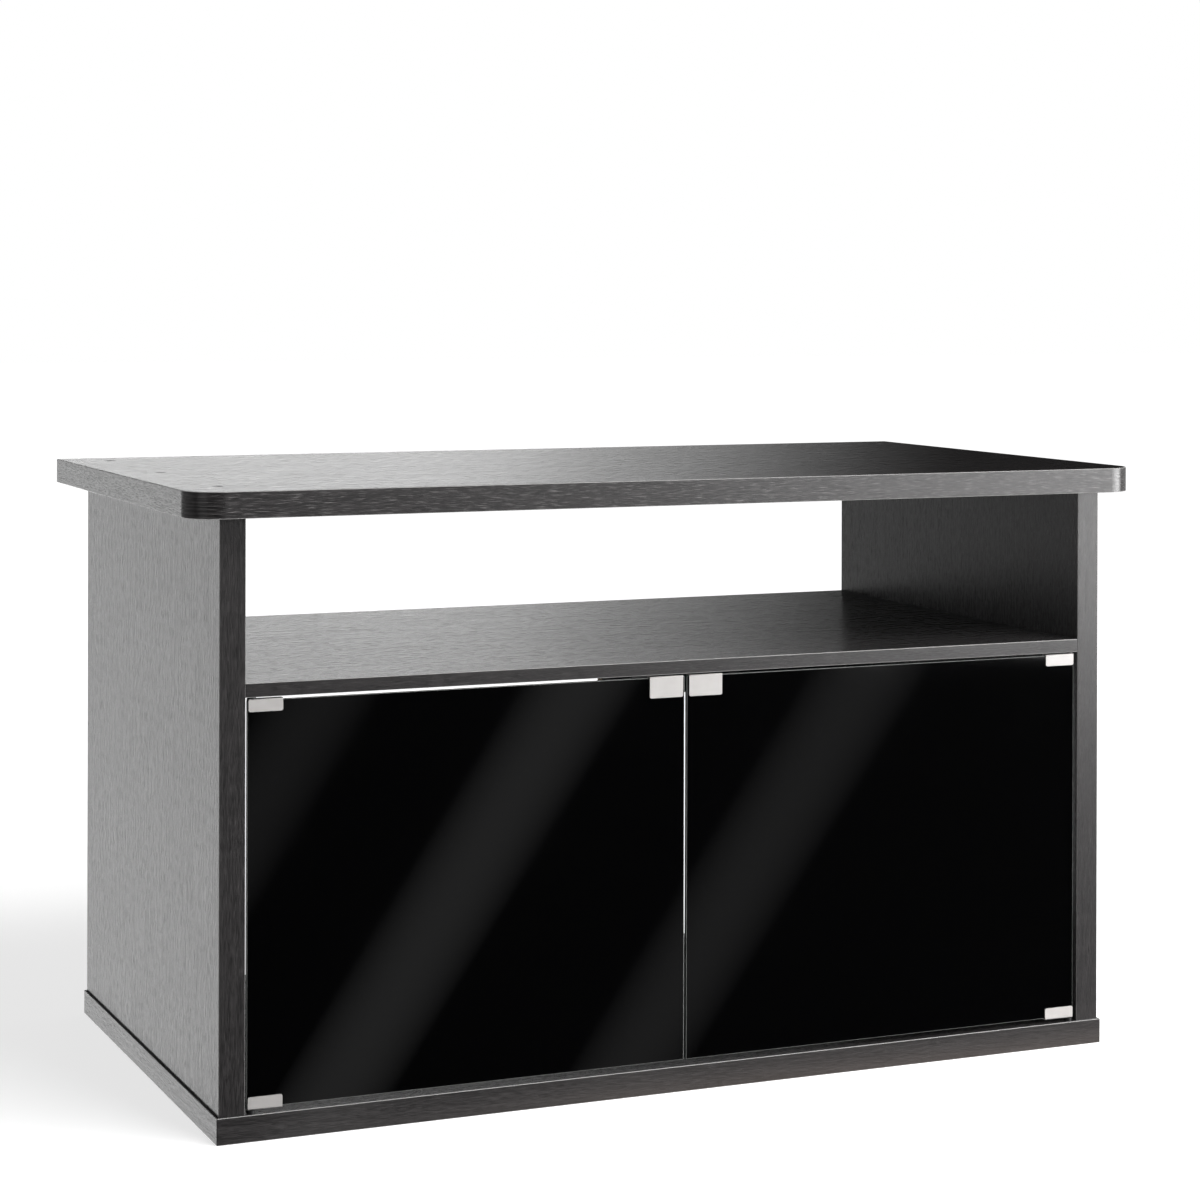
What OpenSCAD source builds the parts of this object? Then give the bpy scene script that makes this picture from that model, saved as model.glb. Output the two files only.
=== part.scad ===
// Low terrarium cabinet: an open bay on top, two glass doors below.
// X runs to the right, Y to the back and Z up. The origin is on the floor,
// under the middle of the cabinet's bounding box. All sizes are in millimetres.

/* [Carcass] */
// Height from the floor to the top surface
cabinet_h = 720; // [600:1:900]
// Width over the outer faces of the side panels
carcass_w = 1138; // [900:1:1400]
// Depth of the side panels, edge bands included
carcass_d = 608; // [450:1:700]
// Thickness of the side panels
side_t = 30; // [25:1:40]
// Thickness of the edge bands
band_t = 1; // [0.5:0.1:2]

/* [Top board] */
// Thickness of the top board
top_t = 30; // [25:1:40]
// How far the top reaches past each side panel
top_side_overhang = 41; // [20:1:60]
// How far the top reaches past the panel fronts
top_front_overhang = 28; // [10:1:50]
// Radius of the two front corners of the top
top_corner_r = 40; // [10:1:60]

/* [Base board] */
// Thickness of the base board
base_t = 30; // [25:1:40]
// How far the base stands proud of the panels all round
base_proud = 3; // [0:0.5:10]

/* [Shelf] */
// Thickness of the shelf
shelf_t = 16; // [16:1:22]
// Clear height of the open bay over the shelf
bay_h = 184; // [120:1:300]

/* [Rear rail] */
// Height of the rail's left part, under the back of the shelf
rail_h = 80; // [60:1:120]
// Thickness of the rail
rail_t = 16; // [16:1:22]
// How much lower the rail's right part reaches
rail_drop = 25; // [10:1:60]
// Distance from the cabinet's middle to the rail's lower part
rail_drop_x = 154; // [0:1:400]

/* [Doors] */
// Thickness of the glass
glass_t = 5; // [4:0.5:6]
// How far the glass stands behind the panel fronts
door_inset = 4; // [3:0.5:12]
// Gap between a leaf and its side panel
door_side_gap = 3; // [3:0.5:6]
// Gap between the two leaves
door_centre_gap = 3; // [2:0.5:5]
// Gap between the leaves and the shelf
door_top_gap = 3.5; // [3:0.5:6]
// Gap between the leaves and the base
door_bottom_gap = 5.5; // [4:0.5:8]

/* [Metal caps on the glass] */
// Sheet thickness of the hinge clips and striker plates
metal_t = 1.2; // [0.8:0.1:1.5]
// Thickness of the soft liner between metal and glass
liner_t = 0.5; // [0.3:0.1:0.6]
// How far the liner's rim stays back inside the metal
liner_setback = 0.6; // [0.3:0.1:1]
// Outer radius of the bends in the sheet
bend_r = 1.5; // [1:0.1:2]

/* [Hinge clips] */
// Width of a hinge clip
clip_w = 40; // [36:1:60]
// Height of a hinge clip
clip_h = 14.5; // [12:0.5:20]
// Distance from a clip's outer end to the glass edge
clip_end_gap = 1; // [0:0.5:1.5]
// Radius of the free corners of a clip
clip_corner_r = 2.5; // [1:0.5:4]
// Distance between a clip's two clamp screws
clamp_spacing = 16; // [14:1:20]
// Diameter of a clamp screw
clamp_d = 4; // [3:0.5:4]
// Diameter of a clamp screw's head
clamp_head_d = 7; // [6:0.5:8]
// Height of a clamp screw's head
clamp_head_h = 2; // [1.5:0.5:3]
// Across-flats size of the hexagon sockets
socket_af = 2.5; // [1.5:0.5:3]

/* [Hinge pivots] */
// Distance from the pivot's axis to the outer edge of the glass
pivot_offset = 5.5; // [5:0.5:8]
// Diameter of a pivot pin
pin_d = 5; // [4:0.5:6]
// Length of a pivot pin inside the board
pin_engage = 8; // [6:0.5:8.5]
// Radial clearance between pin and bush
pin_clearance = 0.05; // [0.02:0.01:0.1]
// Diameter of a bush in the board
bush_d = 8; // [7:0.5:9]
// Depth of a bush in the board
bush_depth = 10; // [9.5:0.5:13]
// Diameter of a bush's collar
collar_d = 10; // [9.5:0.5:11]
// Vertical play between a clip and each collar
collar_play = 0.2; // [0.1:0.1:0.5]

/* [Striker plates] */
// Width of a striker plate
striker_w = 43; // [30:1:60]
// Height of a striker plate
striker_h = 25.5; // [22:0.5:35]
// Distance from a striker plate to the leaf's inner edge
striker_edge_gap = 2.5; // [0.5:0.5:6]
// Radius of the lower corners of a striker plate
striker_corner_r = 2.2; // [1:0.2:4]

/* [Touch latch] */
// Width of the latch housing
latch_w = 88; // [78:1:110]
// Depth of the latch housing
latch_d = 46; // [44:1:60]
// Height of the latch housing
latch_h = 24; // [22:1:30]
// Gap between the striker plates and the housing
latch_gap = 4; // [3:0.5:8]
// Depth of the plunger axes below the shelf
plunger_drop = 13; // [11:0.5:14]
// Diameter of a plunger
plunger_d = 10; // [9:0.5:12]
// Length of a plunger
plunger_l = 24; // [20:1:28]
// Radial clearance round a plunger
plunger_clearance = 0.3; // [0.2:0.1:0.4]
// Depth of a plunger's bore in the housing
plunger_bore_l = 38; // [36:1:40]
// Diameter of a magnet
magnet_d = 8; // [6:0.5:8]
// Thickness of a magnet
magnet_t = 3; // [2:0.5:5]
// How far a magnet stands out of its plunger
magnet_proud = 0.5; // [0.2:0.1:1]
// Gap between a magnet and its striker plate at rest
magnet_gap = 0.2; // [0.1:0.1:0.5]
// Outer diameter of a spring
spring_d = 7.5; // [6:0.5:8]
// Diameter of the spring wire
spring_wire_d = 0.9; // [0.6:0.1:1.2]
// Number of turns of a spring
spring_turns = 7; // [4:1:9]

/* [Latch screws] */
// Diameter of a latch screw
latch_screw_d = 3.5; // [3:0.5:4]
// Diameter of a latch screw's head
latch_screw_head_d = 7; // [6:0.5:8]
// Height of a latch screw's head
latch_screw_head_h = 2.5; // [2:0.5:3]
// Thickness of housing under a latch screw's head
latch_screw_seat = 8; // [6:0.5:10]
// Length of a latch screw in the shelf
latch_screw_bite = 11; // [8:0.5:12]
// Distance from a latch screw to the nearer end of the housing
latch_screw_inset = 11; // [8:0.5:13]

/* [Board fixings] */
// Clearance between a fixing and its hole
fit_gap = 0.1; // [0.05:0.05:0.2]
// Distance of the outer fixings from a panel's front and back
fixing_inset = 60; // [45:1:90]
// Distance from a screw or cam to the dowel next to it
dowel_pitch = 32; // [25:1:40]
// Diameter of a dowel
dowel_d = 8; // [6:0.5:8]
// Length of a dowel
dowel_l = 35; // [30:1:40]
// Depth of a dowel in the face of a board
dowel_face_depth = 12; // [10:0.5:12.5]
// Chamfer at the ends of a dowel
dowel_chamfer = 1; // [0.5:0.1:1.5]
// Diameter of a board screw's head
screw_head_d = 10; // [9:0.5:12]
// Height of a board screw's head
screw_head_h = 4; // [3:0.5:5]
// Diameter of a board screw in the outer board
screw_shank_d = 7; // [6:0.5:7]
// Diameter of a board screw in the panel
screw_core_d = 5; // [4:0.5:5]
// Length of a board screw in the panel
screw_bite = 22; // [18:1:35]
// Across-flats size of a board screw's socket
screw_socket_af = 4; // [3:0.5:4]
// Depth of a board screw's head under the base
screw_recess = 1; // [0.5:0.5:3]
// Diameter of a cap over a top screw
cap_d = 13; // [12:0.5:16]
// Thickness of a cap over a top screw
cap_t = 2; // [1:0.5:3]

/* [Cams] */
// Diameter of a cam lock
cam_d = 15; // [14:0.5:15]
// Height of a cam lock
cam_h = 12.5; // [12:0.5:13]
// Distance from a cam's axis to the side panel
cam_reach = 24; // [20:1:34]
// Diameter of a cam bolt's thread in the panel
bolt_thread_d = 6; // [5:0.5:7]
// Length of a cam bolt in the panel
bolt_bite = 11; // [9:0.5:13]
// Diameter of a cam bolt's shank
bolt_shank_d = 5; // [4:0.5:5]
// Diameter of a cam bolt's head
bolt_head_d = 6.5; // [6:0.5:7]
// Diameter of the bolt bore in the shelf and rail
bolt_bore_d = 7.5; // [7.5:0.5:8]
// Height of the cam bolts above the bottom of the rail
rail_cam_up = 50; // [40:1:55]
// Height of the rail's end dowels above its bottom
rail_dowel_up = 20; // [12:1:25]
// Distance between the dowels from rail to shelf
rail_dowel_spacing = 320; // [150:10:380]

/* [Hidden] */

$fn = 48;
eps = 0.01; // cutters reach this far past the face they open

// Finishes
stained_oak = "#3b3836";
stained_edge = "#302e2d";
black_glass = "#0a0a0b";
satin_metal = "#c9c8c6";
zinc = "#a9abad";
beech = "#c8a678";
black_plastic = "#1d1d1e";
grey_plastic = "#4a4b4d";
clear_liner = "#8d9092";

// Carcass planes
total_d = top_front_overhang + carcass_d + base_proud;
front_y = top_front_overhang - total_d / 2;
back_y = front_y + carcass_d;
side_out_x = carcass_w / 2;
side_in_x = side_out_x - side_t;
side_mid_x = side_out_x - side_t / 2;
top_bottom_z = cabinet_h - top_t;
shelf_top_z = top_bottom_z - bay_h;
shelf_bottom_z = shelf_top_z - shelf_t;
shelf_mid_z = shelf_top_z - shelf_t / 2;
rail_bottom_z = shelf_bottom_z - rail_h; // under the left part
rail_mid_y = back_y - rail_t / 2;

// Door planes
glass_front_y = front_y + door_inset;
glass_mid_y = glass_front_y + glass_t / 2;
glass_out_x = side_in_x - door_side_gap;
glass_in_x = door_centre_gap / 2;
glass_top_z = shelf_bottom_z - door_top_gap;
glass_bottom_z = base_t + door_bottom_gap;
pivot_x = glass_out_x - pivot_offset;
clip_mid_x = glass_out_x - clip_end_gap - clip_w / 2;
striker_x = glass_in_x + striker_edge_gap + striker_w / 2;

// Half widths of the metal caps, across the glass
cap_in = glass_t / 2 + liner_t;
cap_out = cap_in + metal_t;

// Touch latch planes
magnet_y = glass_mid_y + cap_out + magnet_gap;
plunger_y = magnet_y + magnet_proud;
latch_y = glass_mid_y + cap_out + latch_gap;
plunger_z = shelf_bottom_z - plunger_drop;
bore_end_y = latch_y + plunger_bore_l;
spring_l = bore_end_y - plunger_y - plunger_l - 2 * fit_gap;
latch_screw_ys = [latch_y + latch_screw_inset, latch_y + latch_d - latch_screw_inset];
latch_screw_z = shelf_bottom_z - latch_screw_seat;

// Places of the board fixings along Y
screw_ys = [front_y + fixing_inset, (front_y + back_y) / 2, back_y - fixing_inset];
dowel_ys = [screw_ys[0] + dowel_pitch, screw_ys[2] - dowel_pitch];
cam_ys = [screw_ys[0], screw_ys[2]];
screw_hold = top_t - cap_t - screw_head_h;
base_screw_hold = base_t - screw_recess - screw_head_h;
rail_cam_z = rail_bottom_z + rail_cam_up;
rail_dowel_z = rail_bottom_z + rail_dowel_up;
rail_dowel_xs = [-rail_dowel_spacing, 0, rail_dowel_spacing];

// ---- Helpers -------------------------------------------------------------

// A block from its low corner to its high corner
module block(low, high) {
  translate(low) cube(high - low);
}

// Copies its children on the right (+1) or the left (-1) side
module on_side(side) {
  mirror([side < 0 ? 1 : 0, 0, 0]) children();
}

// A board outline whose two front corners may be rounded
module board_outline(half_w, y_low, y_high, r) {
  translate([-half_w, y_low + r]) square([2 * half_w, y_high - y_low - r]);
  translate([-half_w + r, y_low]) square([2 * (half_w - r), r + eps]);
  for (x = [-half_w + r, half_w - r])
    translate([x, y_low + r]) circle(r = r, $fn = 96);
}

// A rectangle hanging from z = top_z, with its two lower corners rounded
module plate_outline(w, h, top_z, r) {
  translate([-w / 2, top_z - h + r]) square([w, h - r]);
  translate([-w / 2 + r, top_z - h]) square([w - 2 * r, r + eps]);
  for (x = [-w / 2 + r, w / 2 - r])
    translate([x, top_z - h + r]) circle(r = r);
}

// A sheet metal cap over a glass edge at z = 0, open downwards
module metal_cap(w, h, corner_r) {
  top_z = liner_t + metal_t;
  intersection() {
    translate([-w / 2, 0, 0]) rotate([90, 0, 90]) linear_extrude(w)
      difference() {
        cap_section(top_z, h);
        translate([-cap_in, -h]) square([2 * cap_in, h + liner_t]);
      }
    translate([0, cap_out + 1, 0]) rotate([90, 0, 0]) linear_extrude(2 * cap_out + 2)
      plate_outline(w, h, top_z, corner_r);
  }
}

// Outer section of a metal cap, rounded at its two bends
module cap_section(top_z, h) {
  translate([-cap_out, top_z - h - eps]) square([2 * cap_out, h + eps - bend_r]);
  translate([-cap_out + bend_r, top_z - bend_r - eps])
    square([2 * (cap_out - bend_r), bend_r + eps]);
  for (y = [-cap_out + bend_r, cap_out - bend_r])
    translate([y, top_z - bend_r]) circle(r = bend_r);
}

// The soft liner inside a metal cap
module cap_liner(w, h) {
  liner_w = w - 2 * liner_setback;
  depth = h - metal_t - liner_t - liner_setback;
  difference() {
    block([-liner_w / 2, -cap_in, -depth], [liner_w / 2, cap_in, liner_t]);
    block([-liner_w / 2 - 1, -glass_t / 2, -depth - 1], [liner_w / 2 + 1, glass_t / 2, 0]);
  }
}

// A hexagon socket of the given across-flats size, sunk from z = 0 down
module hex_socket(af, depth) {
  translate([0, 0, -depth]) cylinder(h = depth + eps, d = af / cos(30), $fn = 6);
}

// A chamfered dowel along Z from z = 0
module dowel() {
  r = dowel_d / 2;
  c = dowel_chamfer;
  rotate_extrude()
    polygon([[0, 0], [r - c, 0], [r, c], [r, dowel_l - c], [r - c, dowel_l], [0, dowel_l]]);
}

// The hole that a dowel needs, with a little room at both ends
module dowel_hole() {
  translate([0, 0, -fit_gap]) cylinder(h = dowel_l + 2 * fit_gap, d = dowel_d + 2 * fit_gap);
}

// Half profile of a board screw: head up at z = 0, hold is the outer board's part
function screw_profile(hold, gap) = [
  [0, 0], [screw_head_d / 2 + gap, 0],
  [screw_shank_d / 2 + gap, -screw_head_h],
  [screw_shank_d / 2 + gap, -screw_head_h - hold],
  [screw_core_d / 2 + gap, -screw_head_h - hold],
  [screw_core_d / 2 + gap, -screw_head_h - hold - screw_bite - gap],
  [0, -screw_head_h - hold - screw_bite - gap]
];

module board_screw(hold) {
  difference() {
    rotate_extrude() polygon(screw_profile(hold, 0));
    hex_socket(screw_socket_af, screw_head_h - 1);
  }
}

module board_screw_hole(hold) {
  rotate_extrude() polygon(screw_profile(hold, fit_gap));
}

// Puts children at every top screw or base screw of both panels
module at_top_screws() {
  for (x = [-side_mid_x, side_mid_x], y = screw_ys)
    translate([x, y, cabinet_h - cap_t]) children();
}

module at_base_screws() {
  for (x = [-side_mid_x, side_mid_x], y = screw_ys)
    translate([x, y, screw_recess]) mirror([0, 0, 1]) children();
}

// Puts children, growing up from z = 0, at every panel dowel
module at_panel_dowels() {
  for (x = [-side_mid_x, side_mid_x], y = dowel_ys) {
    translate([x, y, top_bottom_z + dowel_face_depth - dowel_l]) children();
    translate([x, y, base_t - dowel_face_depth]) children();
  }
}

// Puts children, growing outwards from the board, at every shelf end dowel
module at_shelf_dowels() {
  for (side = [-1, 1], y = dowel_ys)
    translate([side * (side_in_x + dowel_face_depth), y, shelf_mid_z])
      rotate([0, -side * 90, 0]) children();
}

module at_rail_dowels() {
  for (side = [-1, 1])
    translate([side * (side_in_x + dowel_face_depth), rail_mid_y, rail_dowel_z])
      rotate([0, -side * 90, 0]) children();
  for (x = rail_dowel_xs)
    translate([x, rail_mid_y, shelf_bottom_z + dowel_face_depth - dowel_l]) children();
}

// Puts children at every cam, with its bolt along +X towards the panel and
// the cam's open face along -Z. The shelf's cams open down, the rail's back.
module at_cams() {
  for (side = [-1, 1]) on_side(side) {
    for (y = cam_ys)
      translate([side_in_x, y, shelf_mid_z]) cam_turn(shelf_t) children();
    translate([side_in_x, rail_mid_y, rail_cam_z]) rotate([90, 0, 0])
      cam_turn(rail_t) children();
  }
}

module cam_turn(board_thickness) {
  $half_t = board_thickness / 2;
  children();
}

module cam_bolt() {
  head_r = bolt_head_d / 2;
  rotate([0, 90, 0]) {
    cylinder(h = bolt_bite, d = bolt_thread_d);
    translate([0, 0, -cam_reach]) cylinder(h = cam_reach + eps, d = bolt_shank_d);
    translate([0, 0, -cam_reach - head_r / 2]) cylinder(h = head_r, r = head_r);
  }
}

module cam_bolt_hole() {
  rotate([0, 90, 0]) cylinder(h = bolt_bite + fit_gap, d = bolt_thread_d + 2 * fit_gap);
}

module cam_lock() {
  difference() {
    translate([-cam_reach, 0, -$half_t]) cylinder(h = cam_h, d = cam_d);
    rotate([0, 90, 0]) translate([0, 0, -cam_reach - bolt_head_d / 2])
      cylinder(h = cam_d, d = bolt_bore_d);
    for (turn = [0, 90])
      translate([-cam_reach, 0, -$half_t]) rotate([0, 0, turn])
        cube([cam_d / 2, 1.2, 3], center = true);
  }
}

module cam_pocket() {
  translate([-cam_reach, 0, -$half_t - 1])
    cylinder(h = cam_h + 1 + fit_gap, d = cam_d + 2 * fit_gap);
  rotate([0, 90, 0]) translate([0, 0, -cam_reach]) cylinder(h = cam_reach + 1, d = bolt_bore_d);
}

// Puts children at a top or bottom glass edge, opening towards the glass
module at_edge(x, top) {
  translate([x, glass_mid_y, top ? glass_top_z : glass_bottom_z])
    mirror([0, 0, top ? 0 : 1]) children();
}

// Places of the clamp screws, from the middle of a clip
clamp_xs = [-clamp_spacing / 2, clamp_spacing / 2];
clamp_z = (liner_t + metal_t - clip_h) / 2;

module clamp_hole() {
  translate([0, cap_in - eps, clamp_z]) rotate([-90, 0, 0])
    cylinder(h = metal_t + 2 * eps, d = clamp_d + fit_gap);
}

module clamp_screw() {
  translate([0, cap_in, clamp_z]) rotate([-90, 0, 0]) difference() {
    union() {
      cylinder(h = metal_t + eps, d = clamp_d);
      translate([0, 0, metal_t]) cylinder(h = clamp_head_h, d = clamp_head_d);
    }
    translate([0, 0, metal_t + clamp_head_h]) hex_socket(socket_af, clamp_head_h - 0.5);
  }
}

// ---- Boards --------------------------------------------------------------

module top_board() {
  half_w = side_out_x + top_side_overhang;
  color(stained_oak) difference() {
    translate([0, 0, top_bottom_z]) linear_extrude(top_t)
      board_outline(half_w - band_t, front_y - top_front_overhang + band_t,
        back_y - band_t, top_corner_r - band_t);
    at_top_screws() board_screw_hole(screw_hold);
    at_top_screws() translate([0, 0, -eps])
      cylinder(h = cap_t + 1, d = cap_d + 2 * fit_gap);
    at_panel_dowels() dowel_hole();
  }
}

module top_edging() {
  half_w = side_out_x + top_side_overhang;
  front = front_y - top_front_overhang;
  color(stained_edge) translate([0, 0, top_bottom_z]) linear_extrude(top_t)
    difference() {
      board_outline(half_w, front, back_y, top_corner_r);
      board_outline(half_w - band_t, front + band_t, back_y - band_t,
        top_corner_r - band_t);
    }
}

// One side panel on the right, drilled for its neighbours
module side_panel() {
  difference() {
    block([side_in_x, front_y + band_t, base_t], [side_out_x, back_y - band_t, top_bottom_z]);
    at_top_screws() board_screw_hole(screw_hold);
    at_base_screws() board_screw_hole(base_screw_hold);
    at_panel_dowels() dowel_hole();
    at_shelf_dowels() dowel_hole();
    at_rail_dowels() dowel_hole();
    at_cams() cam_bolt_hole();
  }
}

module side_panel_left() {
  color(stained_oak) on_side(-1) side_panel();
}

module side_panel_right() {
  color(stained_oak) on_side(1) side_panel();
}

// Front and back edge bands of one side panel on the right
module side_edging() {
  for (y = [front_y, back_y - band_t])
    block([side_in_x, y, base_t], [side_out_x, y + band_t, top_bottom_z]);
}

module side_edging_left() {
  color(stained_edge) on_side(-1) side_edging();
}

module side_edging_right() {
  color(stained_edge) on_side(1) side_edging();
}

module base_board() {
  half_w = side_out_x + base_proud - band_t;
  color(stained_oak) difference() {
    block([-half_w, front_y - base_proud + band_t, 0],
      [half_w, back_y + base_proud - band_t, base_t]);
    at_base_screws() board_screw_hole(base_screw_hold);
    at_base_screws() translate([0, 0, -eps])
      cylinder(h = screw_recess + 1, d = screw_head_d + 2 * fit_gap);
    at_panel_dowels() dowel_hole();
    for (side = [-1, 1])
      translate([side * pivot_x, glass_mid_y, base_t - bush_depth])
        cylinder(h = bush_depth + 1, d = bush_d);
  }
}

module base_edging() {
  half_w = side_out_x + base_proud;
  low = [-half_w, front_y - base_proud, 0];
  high = [half_w, back_y + base_proud, base_t];
  color(stained_edge) difference() {
    block(low, high);
    block(low + [band_t, band_t, -1], high + [-band_t, -band_t, 1]);
  }
}

module shelf() {
  color(stained_oak) difference() {
    block([-side_in_x, front_y + band_t, shelf_bottom_z],
      [side_in_x, back_y - band_t, shelf_top_z]);
    at_shelf_dowels() dowel_hole();
    at_rail_dowels() dowel_hole();
    at_cams() cam_pocket();
    for (side = [-1, 1])
      translate([side * pivot_x, glass_mid_y, shelf_bottom_z - 1])
        cylinder(h = bush_depth + 1, d = bush_d);
    for (y = latch_screw_ys)
      translate([0, y, shelf_bottom_z - 1])
        cylinder(h = latch_screw_bite + 1 + fit_gap, d = latch_screw_d + 2 * fit_gap);
  }
}

module shelf_edging() {
  color(stained_edge)
    for (y = [front_y, back_y - band_t])
      block([-side_in_x, y, shelf_bottom_z], [side_in_x, y + band_t, shelf_top_z]);
}

module rear_rail() {
  low_z = rail_bottom_z - rail_drop;
  color(stained_oak) difference() {
    block([-side_in_x, back_y - rail_t, low_z], [side_in_x, back_y, shelf_bottom_z]);
    block([-side_in_x - 1, back_y - rail_t - 1, low_z - 1],
      [rail_drop_x, back_y + 1, rail_bottom_z]);
    at_rail_dowels() dowel_hole();
    at_cams() cam_pocket();
  }
}

// ---- Board fixings -------------------------------------------------------

module panel_dowels() {
  color(beech) at_panel_dowels() dowel();
}

module shelf_dowels() {
  color(beech) at_shelf_dowels() dowel();
}

module rail_dowels() {
  color(beech) at_rail_dowels() dowel();
}

module top_screws() {
  color(zinc) at_top_screws() board_screw(screw_hold);
}

module top_screw_caps() {
  color(black_plastic) at_top_screws() cylinder(h = cap_t, d = cap_d);
}

module base_screws() {
  color(zinc) at_base_screws() board_screw(base_screw_hold);
}

module cam_bolts() {
  color(zinc) at_cams() cam_bolt();
}

module cam_locks() {
  color(zinc) at_cams() cam_lock();
}

// ---- Pivots --------------------------------------------------------------

// A bush that hangs in its board above z = 0, with its collar below
module pivot_bush(collar_t) {
  difference() {
    union() {
      cylinder(h = bush_depth, d = bush_d);
      translate([0, 0, -collar_t]) cylinder(h = collar_t, d = collar_d);
    }
    translate([0, 0, -collar_t - 1])
      cylinder(h = collar_t + 1 + pin_engage + 1, d = pin_d + 2 * pin_clearance);
  }
}

module shelf_bushes() {
  color(black_plastic) for (side = [-1, 1])
    translate([side * pivot_x, glass_mid_y, shelf_bottom_z])
      pivot_bush(door_top_gap - liner_t - metal_t - collar_play);
}

module base_bushes() {
  color(black_plastic) for (side = [-1, 1])
    translate([side * pivot_x, glass_mid_y, base_t]) mirror([0, 0, 1])
      pivot_bush(door_bottom_gap - liner_t - metal_t - collar_play);
}

// Both pins of one leaf on the right, from the flange into the bushes
module pivot_pins() {
  for (top = [true, false])
    at_edge(pivot_x, top) translate([0, 0, liner_t])
      cylinder(h = (top ? door_top_gap : door_bottom_gap) - liner_t + pin_engage, d = pin_d);
}

module pivot_pins_left() {
  color(zinc) on_side(-1) pivot_pins();
}

module pivot_pins_right() {
  color(zinc) on_side(1) pivot_pins();
}

// ---- Doors ---------------------------------------------------------------

module door_glass() {
  block([glass_in_x, glass_front_y, glass_bottom_z],
    [glass_out_x, glass_front_y + glass_t, glass_top_z]);
}

module door_glass_left() {
  color(black_glass) on_side(-1) door_glass();
}

module door_glass_right() {
  color(black_glass) on_side(1) door_glass();
}

// A hinge clip on the right leaf's top or bottom edge
module hinge_clip(top) {
  difference() {
    at_edge(clip_mid_x, top) difference() {
      metal_cap(clip_w, clip_h, clip_corner_r);
      for (x = clamp_xs) translate([x, 0, 0]) clamp_hole();
    }
    at_edge(pivot_x, top) cylinder(h = 3 * metal_t, d = pin_d + fit_gap);
  }
}

module hinge_clip_top_left() {
  color(satin_metal) on_side(-1) hinge_clip(true);
}

module hinge_clip_bottom_left() {
  color(satin_metal) on_side(-1) hinge_clip(false);
}

module hinge_clip_top_right() {
  color(satin_metal) on_side(1) hinge_clip(true);
}

module hinge_clip_bottom_right() {
  color(satin_metal) on_side(1) hinge_clip(false);
}

module clip_liners() {
  for (top = [true, false])
    at_edge(clip_mid_x, top) cap_liner(clip_w, clip_h);
}

module clip_liners_left() {
  color(clear_liner) on_side(-1) clip_liners();
}

module clip_liners_right() {
  color(clear_liner) on_side(1) clip_liners();
}

module clamp_screws() {
  for (top = [true, false], x = clamp_xs)
    at_edge(clip_mid_x + x, top) clamp_screw();
}

module clamp_screws_left() {
  color(zinc) on_side(-1) clamp_screws();
}

module clamp_screws_right() {
  color(zinc) on_side(1) clamp_screws();
}

module striker_plate_left() {
  color(satin_metal) at_edge(-striker_x, true)
    metal_cap(striker_w, striker_h, striker_corner_r);
}

module striker_plate_right() {
  color(satin_metal) at_edge(striker_x, true)
    metal_cap(striker_w, striker_h, striker_corner_r);
}

module striker_liner_left() {
  color(clear_liner) at_edge(-striker_x, true) cap_liner(striker_w, striker_h);
}

module striker_liner_right() {
  color(clear_liner) at_edge(striker_x, true) cap_liner(striker_w, striker_h);
}

// ---- Touch latch ---------------------------------------------------------

module latch_housing() {
  bottom_z = shelf_bottom_z - latch_h;
  color(grey_plastic) difference() {
    block([-latch_w / 2, latch_y, bottom_z], [latch_w / 2, latch_y + latch_d, shelf_bottom_z]);
    for (side = [-1, 1])
      translate([side * striker_x, bore_end_y, plunger_z]) rotate([90, 0, 0])
        cylinder(h = plunger_bore_l + 1, d = plunger_d + 2 * plunger_clearance);
    for (y = latch_screw_ys) {
      translate([0, y, bottom_z - 1])
        cylinder(h = latch_screw_z - bottom_z + 1, d = latch_screw_head_d + 1);
      translate([0, y, bottom_z]) cylinder(h = latch_h + 1, d = latch_screw_d + 2 * fit_gap);
    }
  }
}

module latch_screws() {
  color(zinc) for (y = latch_screw_ys) translate([0, y, latch_screw_z]) difference() {
    union() {
      cylinder(h = latch_screw_seat + latch_screw_bite, d = latch_screw_d);
      translate([0, 0, -latch_screw_head_h])
        cylinder(h = latch_screw_head_h, d = latch_screw_head_d);
    }
    translate([0, 0, -latch_screw_head_h]) mirror([0, 0, 1]) hex_socket(socket_af, 1.5);
  }
}

// A plunger with the pocket for its magnet in the front face
module latch_plunger(side) {
  translate([side * striker_x, plunger_y, plunger_z]) rotate([-90, 0, 0]) difference() {
    cylinder(h = plunger_l, d = plunger_d);
    translate([0, 0, -1])
      cylinder(h = 1 + magnet_t - magnet_proud + fit_gap, d = magnet_d + 2 * fit_gap);
  }
}

module latch_plunger_left() {
  color(black_plastic) latch_plunger(-1);
}

module latch_plunger_right() {
  color(black_plastic) latch_plunger(1);
}

module latch_magnet(side) {
  translate([side * striker_x, magnet_y, plunger_z]) rotate([-90, 0, 0])
    cylinder(h = magnet_t, d = magnet_d);
}

module latch_magnet_left() {
  color(zinc) latch_magnet(-1);
}

module latch_magnet_right() {
  color(zinc) latch_magnet(1);
}

// A coiled wire along +Z from z = 0, as one tube with flat ends
spring_rings = 10; // rings in each turn
wire_sides = 6;

function coil_point(ring, corner) =
  let (
    turn = 360 * ring / spring_rings,
    climb = spring_l - spring_wire_d,
    z = spring_wire_d / 2 + climb * ring / (spring_rings * spring_turns),
    a = 360 * corner / wire_sides,
    r = (spring_d - spring_wire_d) / 2 + spring_wire_d / 2 * cos(a)
  ) [r * cos(turn), r * sin(turn), z + spring_wire_d / 2 * sin(a)];

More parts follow.
